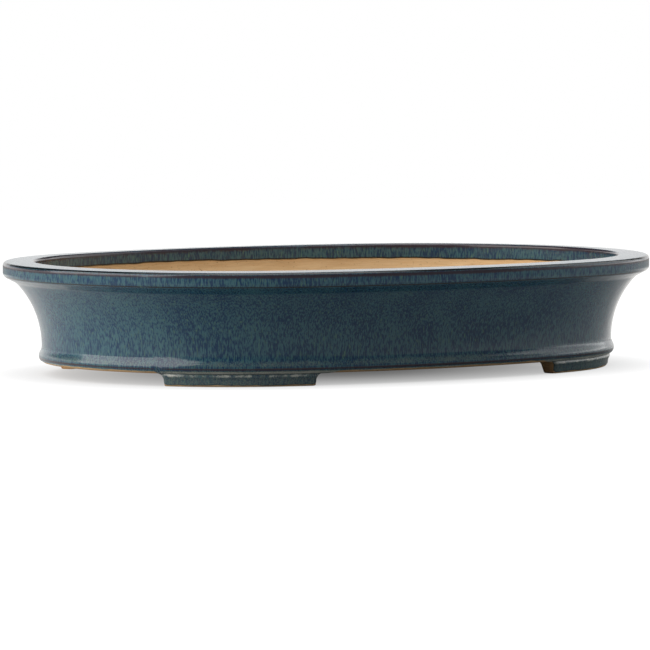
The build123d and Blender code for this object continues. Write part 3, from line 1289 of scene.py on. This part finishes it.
@dataclass
class Foot:
    """One low foot that follows the oval, with glaze on its outward face.

    Its level outline is a bar bent along the oval, with rounded corners. Going up, the bar grows
    longer in a hollow curve at both ends, where the joint was smoothed by a finger, and its inner
    side leans away. The fields named for a line say where it lies above the joint, or in from the
    coat's edge for the end line, and how wide it is.
    """

    pot: Pot
    name: str
    start: float
    end: float
    outer_top: float = 24.1 * MM
    outer_bottom: float = 25.3 * MM
    inner_top: float = 36.9 * MM
    inner_bottom: float = 33.8 * MM
    corner: float = 2.5 * MM
    ground_edge: float = 0.8 * MM
    end_flare: float = 4.2 * MM
    flare_height: float = 2.8 * MM
    glaze: float = 0.35 * MM
    shoulder: float = 0.50 * MM
    wrap: float = math.radians(25)
    coat_low: float = 0.75 * MM
    coat_over: float = 0.6 * MM
    coat_rise: float = 2.2 * MM
    coat_turn: float = 2.6 * MM
    coat_roll: float = 0.5 * MM
    tuck: float = 0.3 * MM
    sunk: float = 1.3 * MM
    shoulder_line: tuple[float, float] = (-1.6 * MM, 1.2 * MM)
    glint_line: tuple[float, float] = (-1.1 * MM, 0.9 * MM)
    brown_line: tuple[float, float] = (0.1 * MM, 0.35 * MM)
    end_line: tuple[float, float] = (0.0, 0.3 * MM)
    pale_share: float = 0.55

    def outline(self, start: float, end: float) -> tuple[Array, Array]:
        """The bar's outline, anticlockwise from one direction of its normal to another.

        Args:
            start: the first point's direction, in radians from the bar's length.
            end: the last point's direction, up to a full turn.

        Returns:
            The corner hub that each point belongs to, from -1 to 1 both ways, and its unit
            direction from that hub. On the straight sides the hub runs from corner to corner.
        """
        hubs, turns = [], []
        for k, (a, b) in enumerate(((1, 1), (-1, 1), (-1, -1), (1, -1))):
            turns.append(np.linspace(k, k + 1, 12) * math.pi / 2)
            hubs.append(np.tile((float(a), float(b)), (12, 1)))
            steps = 60 if k % 2 == 0 else 6
            if k < 3:
                share = np.linspace(0, 1, steps + 2)[1:-1, None]
                following = np.array([-b, a], float)
                hubs.append((1 - share) * (a, b) + share * following)
                turns.append(np.full(steps, (k + 1) * math.pi / 2))
        hub, turn = np.concatenate(hubs), np.concatenate(turns)
        kept = (turn >= start - 1e-9) & (turn <= end + 1e-9)
        return hub[kept], np.stack([np.cos(turn), np.sin(turn)], 1)[kept]

    def shape(self, height: Array) -> tuple[Array, Array, Array]:
        """The foot's size at each height.

        Args:
            height: the heights above the ground.

        Returns:
            The outer inset, the inner inset and half the length. The two faces lean evenly from
            the ground to the joint. At the ground every side is drawn in by a quarter circle. The
            ends flare by a quarter ellipse near the joint.
        """
        top = self.pot.section.ground_gap
        share = height / top
        outer = self.outer_bottom + (self.outer_top - self.outer_bottom) * share
        inner = self.inner_bottom + (self.inner_top - self.inner_bottom) * share
        rise = np.clip(height / self.ground_edge, 0, 1)
        tuck = self.ground_edge * (1 - np.sqrt(1 - (1 - rise) ** 2))
        near = np.clip((top - height) / self.flare_height, 0, 1)
        flare = self.end_flare * (1 - np.sqrt(1 - (1 - near) ** 2))
        return outer + tuck, inner - tuck, self.length() / 2 + flare - tuck

    def length(self) -> float:
        """The foot's length along its outer face, near the ground."""
        points, normals, _ = self.pot.oval.stretch(self.start, self.end, 200)
        return float(along(points - normals * self.outer_bottom)[-1])

    def surface(self, hub: Array, direction: Array, height: Array, proud: Array | float) -> Array:
        """Points on the foot's sides.

        Args:
            hub: each outline point's corner hub.
            direction: its direction from the hub.
            height: heights, one row for each level and one column for each outline point.
            proud: how far the points stand off the clay.

        Returns:
            Hub times half size, plus the corner radius and the stand-off along the direction,
            laid out along the oval and across it.
        """
        outer, inner, half = self.shape(np.clip(height, 0, self.pot.section.ground_gap))
        radius = self.corner
        lengthwise = hub[:, 0] * (half - radius) + (radius + proud) * direction[:, 0]
        crosswise = hub[:, 1] * ((inner - outer) / 2 - radius) + (radius + proud) * direction[:, 1]
        inset = (outer + inner) / 2 - crosswise
        points, normals, _ = self.pot.oval.stretch(self.start - 8, self.end + 8, 500)
        s = along(points - normals * self.outer_bottom)
        angle = np.degrees(np.unwrap(np.arctan2(normals[:, 1], normals[:, 0])))
        middle = np.interp([0.0, self.end - self.start], angle - angle[0] - 8, s).mean()
        line = [np.interp(middle + lengthwise, s, a[:, k]) for a in (points, normals) for k in (0, 1)]
        plan = (line[0] - inset * line[2], line[1] - inset * line[3])
        return np.stack([*plan, np.broadcast_to(height, plan[0].shape)], -1)

    def clay(self) -> bpy.types.Object:
        """The foot's clay: outlines stacked from the ground up, closed above and below.

        Returns:
            The dressed piece.
        """
        top = self.pot.section.ground_gap
        rise = self.ground_edge * (1 - np.cos(np.linspace(0, math.pi / 2, 6)))
        heights = np.concatenate([rise, np.linspace(self.ground_edge, top, 20)[1:]])[:, None]
        hub, direction = self.outline(0, 2 * math.pi)
        grid = self.surface(hub, direction, heights, 0.0)
        rows, columns = grid.shape[:2]
        behind = smooth_step(-direction[:, 1], -0.3, 0.2)
        in_front = smooth_step(direction[:, 1], 0.5, 0.9)
        toast = (0.25 + 0.55 * (1 - heights / top) * (1 - behind)) * (1 - 0.8 * in_front)
        sides = grid_faces(rows, columns, False, True)[:, ::-1]
        caps = [ladder(0, columns), ladder((rows - 1) * columns, columns)[:, ::-1]]
        faces = np.concatenate([sides, *caps]).tolist()
        marks = {"toast": np.broadcast_to(toast, (rows, columns))}
        piece = make_object("clay_" + self.name, grid.reshape(-1, 3), faces, marks, crease=50)
        return self.pot.finishes.dress(piece, Slot.CLAY, self.name)

    def coat(self) -> bpy.types.Object:
        """The glaze on the outward face and round its two upright corners.

        The outer side stands off the clay, swells to a shoulder near the joint, and rolls onto
        the clay along its lower edge and its two ends. The hidden side lies inside the clay.

        Returns:
            The dressed piece.
        """
        rows, top = 30, self.pot.section.ground_gap
        hub, direction = self.outline(self.wrap, math.pi - self.wrap)
        place = along(hub * (self.length() / 2 - self.corner, 0.0) + self.corner * direction)
        from_end = np.minimum(place, place[-1] - place)
        around = place / place[-1] * 1.1 + math.radians(self.start)
        ragged = ripple(around, {9: 0.10, 23: 0.09, 47: 0.07, 90: 0.05}, 13) * MM
        lifted = 1 - np.sqrt(1 - (1 - np.clip(from_end / self.coat_turn, 0, 1)) ** 2)
        low = self.coat_low + ragged + self.coat_rise * lifted
        share = np.linspace(0, 1, rows)[:, None]
        height = low + (top + self.coat_over - low) * share
        end = np.minimum(height - low, from_end)
        rolled = np.sqrt(np.clip(1 - (1 - np.clip(end / self.coat_roll, 0, 1)) ** 2, 0, 1))
        swell = self.shoulder * hump(height - top, *self.shoulder_line)
        proud = (self.glaze + swell) * rolled - self.tuck * (1 - rolled)
        front = self.surface(hub, direction, height, proud)
        back = self.surface(hub, direction, height, -self.sunk)[::-1]
        grid = np.concatenate([front, back])
        turn = np.broadcast_to(around, height.shape)
        wander = ripple(turn, {15: 0.3, 37: 0.3, 81: 0.25, 127: 0.2}, 17)
        # Painted highlight: a broken bright line along the foot's rounded shoulder.
        painted_glint = hump(height - top, *self.glint_line) * (0.45 + 0.7 * wander)
        brown = hump(height - top, *self.brown_line)
        pool_and_shade = hump(end, *self.end_line) * 0.8
        pale = self.pale_share + 0.06 * wander
        blank = np.zeros(height.shape)
        marks = {
            name: np.clip(np.concatenate([value, blank]), 0, 1)
            for name, value in (("brown", brown), ("pale", pale), ("pool_and_shade", pool_and_shade), ("painted_glint", painted_glint))
        }
        columns = len(place)
        loop = np.arange(2 * rows) * columns
        sides = grid_faces(2 * rows, columns, True, False)[:, ::-1]
        ends = ladder(0, 2 * rows)
        faces = np.concatenate([sides, loop[ends][:, ::-1], loop[ends] + columns - 1]).tolist()
        piece = make_object("glaze_" + self.name, grid.reshape(-1, 3), faces, marks, crease=60)
        return self.pot.finishes.dress(piece, Slot.GLAZE, self.name.replace("foot_", "foot_glaze_"))

    def build(self) -> list[bpy.types.Object]:
        """The foot's clay and its glaze."""
        return [self.clay(), self.coat()]


# ----------------------------------------------------------------------------- studio


def heading(azimuth: float, elevation: float) -> Vector:
    """The direction from the pot to something that stands round it.

    Args:
        azimuth: in degrees from the front, positive to the right.
        elevation: in degrees.

    Returns:
        The unit direction.
    """
    a, e = math.radians(azimuth), math.radians(elevation)
    return Vector((math.sin(a) * math.cos(e), -math.cos(a) * math.cos(e), math.sin(e)))


@dataclass(frozen=True)
class Panel:
    """A soft rectangular light that faces the pot.

    It stands at an azimuth and an elevation in degrees. Its size is in metres, and its power is pi
    times its area times its glow.
    """

    name: str
    azimuth: float
    elevation: float
    size: tuple[float, float]
    glow: float
    tint: tuple[float, float, float] = (1.0, 1.0, 1.0)
    distance: float = 1.6

    def build(self) -> None:
        """Adds the light to the scene."""
        data = bpy.data.lights.new(self.name, "AREA")
        data.shape = "RECTANGLE"
        data.size, data.size_y = self.size
        data.energy = math.pi * self.size[0] * self.size[1] * self.glow
        data.color = self.tint
        light = bpy.data.objects.new(self.name, data)
        back = heading(self.azimuth, self.elevation)
        light.location = back * self.distance
        light.rotation_mode = "QUATERNION"
        light.rotation_quaternion = back.to_track_quat("Z", "Y")
        bpy.context.scene.collection.objects.link(light)


@dataclass
class Studio:
    """A plain pale floor, soft light from all round and a long-lens camera at the front left."""

    azimuth: float = -34.68
    elevation: float = 3.65
    distance: float = 3.568
    lens: float = 331.1
    aim: tuple[float, float, float] = (-0.0013, 0.0029, 0.0260)
    floor_size: float = 3.8
    floor_grey: float = 0.33
    floor_behind: float = 0.95
    floor_sides: tuple[float, float] = (0.50, 0.28)
    floor_white: float = 0.12
    floor_dark: float = 0.12
    floor_edge: float = 0.55
    shadow_size: tuple[float, float] = (0.205, 0.145)
    shadow_reach: float = 0.050
    room_front: tuple[float, float, float] = (0.17, 0.18, 0.19)
    room_above: tuple[float, float, float] = (0.04, 0.04, 0.04)
    room_bright: tuple[float, float, float] = (1.14, 1.12, 1.11)
    panels: tuple[Panel, ...] = (
        Panel("left_panel", -100, 27, (2.2, 1.4), 3.2, (1.0, 0.94, 0.91)),
        Panel("right_panel", 85, 27, (1.4, 1.3), 1.25),
        Panel("top_panel", 0, 84, (1.5, 1.5), 2.5),
    )

    def camera(self) -> None:
        """Stands the camera off from its aim and points it back along the same line."""
        back = heading(self.azimuth, self.elevation)
        data = bpy.data.cameras.new("camera")
        data.lens, data.sensor_width = self.lens, 36.0
        data.clip_start, data.clip_end = 0.1, 200.0
        camera = bpy.data.objects.new("camera", data)
        camera.location = Vector(self.aim) + back * self.distance
        camera.rotation_mode = "QUATERNION"
        camera.rotation_quaternion = back.to_track_quat("Z", "Y")
        bpy.context.scene.collection.objects.link(camera)
        bpy.context.scene.camera = camera

    def floor(self) -> None:
        """A wide matte floor at the ground, seen only from above.

        The picture sees it lifted to white away from the pot, with a painted shadow that glows dimmer
        towards the middle under the pot. Reflections see it grey in front of the pot and glowing as
        painted light behind and to the sides, like paper that sweeps up to a wall.
        """
        half = self.floor_size / 2
        corners = half * np.array([(-1.0, -1, 0), (1, -1, 0), (1, 1, 0), (-1, 1, 0)])
        floor = make_object("studio_floor", corners, [(0, 1, 2, 3)])
        board = Board(bpy.data.materials.new("studio_floor"), "OutputMaterial")
        place = board.node("TexCoord", {}).outputs["Object"]
        seen = board.seen()
        open_share = board.node("AmbientOcclusion", {"Distance": self.shadow_reach}).outputs["AO"]
        shares = (1 / self.shadow_size[0], 1 / self.shadow_size[1], 0.0)
        spread = board.node("VectorMath", {0: place, 1: shares}, operation="MULTIPLY")
        spread = board.length(spread.outputs["Vector"])
        # Painted shadow: the glow under the pot falls from floor_edge at the lip's outline to
        # floor_dark at its middle, and ambient occlusion lifts it to white in the open.
        under = board.remap(spread, 0.2, 1.0, self.floor_dark, self.floor_edge)
        lifted = {"Value": open_share, "To Min": under, "To Max": 1.0}
        far = board.node("MapRange", lifted).outputs["Result"]
        back = heading(self.azimuth, 0.0)
        behind, aside = board.dot(place, -back), board.dot(place, (-back.y, back.x, 0.0))
        left, right = self.floor_sides
        # Painted light: for reflections the floor glows behind the pot and to its sides.
        swept_up = board.remap(behind, -0.05, 0.45, 0.0, self.floor_behind)
        swept_up = board.math("MAXIMUM", swept_up, board.remap(aside, -0.20, -0.06, left, 0.0))
        swept_up = board.math("MAXIMUM", swept_up, board.remap(aside, 0.17, 0.27, 0.0, right))
        fading = board.remap(board.length(place), 0.50, 0.95, 1.0, 0.2)
        swept_up = board.math("MULTIPLY", swept_up, fading)
        grey, white = (self.floor_grey,) * 3, (self.floor_white,) * 3
        matte = board.node("BsdfDiffuse", {"Color": board.blend(seen, grey, white)})
        strength = board.node("Mix", {0: seen, "A": swept_up, "B": far}).outputs["Result"]
        tint = board.blend(seen, (1.0, 0.97, 0.93), (1.0, 1.0, 1.0))
        glow = board.node("Emission", {"Color": tint, "Strength": strength})
        lit = board.node("AddShader", {0: matte.outputs[0], 1: glow.outputs[0]})
        side = board.node("NewGeometry", {}).outputs["Backfacing"]
        clear = board.node("BsdfTransparent", {})
        board.finish(board.node("MixShader", {0: side, 1: lit.outputs[0], 2: clear.outputs[0]}))
        floor.data.materials.append(board.owner)

    def surroundings(self) -> None:
        """A pale room, white to the camera.

        In reflections it is a bright wall behind the pot with a dark ceiling over it, and a dim
        grey in front. One smooth step follows the height of the direction looked in and another
        how far it points behind, and each mixes two of the room's colours.
        """
        world = bpy.data.worlds.new("studio")
        bpy.context.scene.world = world
        board = Board(world, "OutputWorld")
        look = board.node("TexCoord", {}).outputs["Generated"]
        height = board.node("SeparateXYZ", {0: look}).outputs["Z"]
        wall = board.blend(board.remap(height, 0.14, 0.30), self.room_bright, self.room_above)
        behind = board.remap(board.dot(look, -heading(self.azimuth, 0.0)), -0.30, 0.30)
        room = board.blend(behind, self.room_front, wall)
        tone = board.blend(board.seen(), room, (1.0, 1.0, 1.0))
        board.finish(board.node("Background", {"Color": tone}))

    def build(self) -> None:
        """Sets up the whole studio."""
        self.camera()
        self.floor()
        self.surroundings()
        for panel in self.panels:
            panel.build()
        view = bpy.context.scene.view_settings
        view.view_transform = "Standard"
        view.look = "None"


def main() -> None:
    """Builds the pot's pieces in order, from the ground up, and then the studio."""
    pot = Pot.from_frame()
    pieces: list[bpy.types.Object] = []
    for name, (start, end) in pot.feet().items():
        pieces += Foot(pot, name, start, end).build()
    pieces.append(Floor(pot).build())
    pieces += ClayRings(pot).build()
    pieces.append(BodyGlaze(pot).build())
    log.info("%d pieces", len(pieces))
    Studio().build()


if __name__ == "__main__":
    logging.basicConfig(level=logging.INFO, format="%(name)s: %(message)s")
    main()
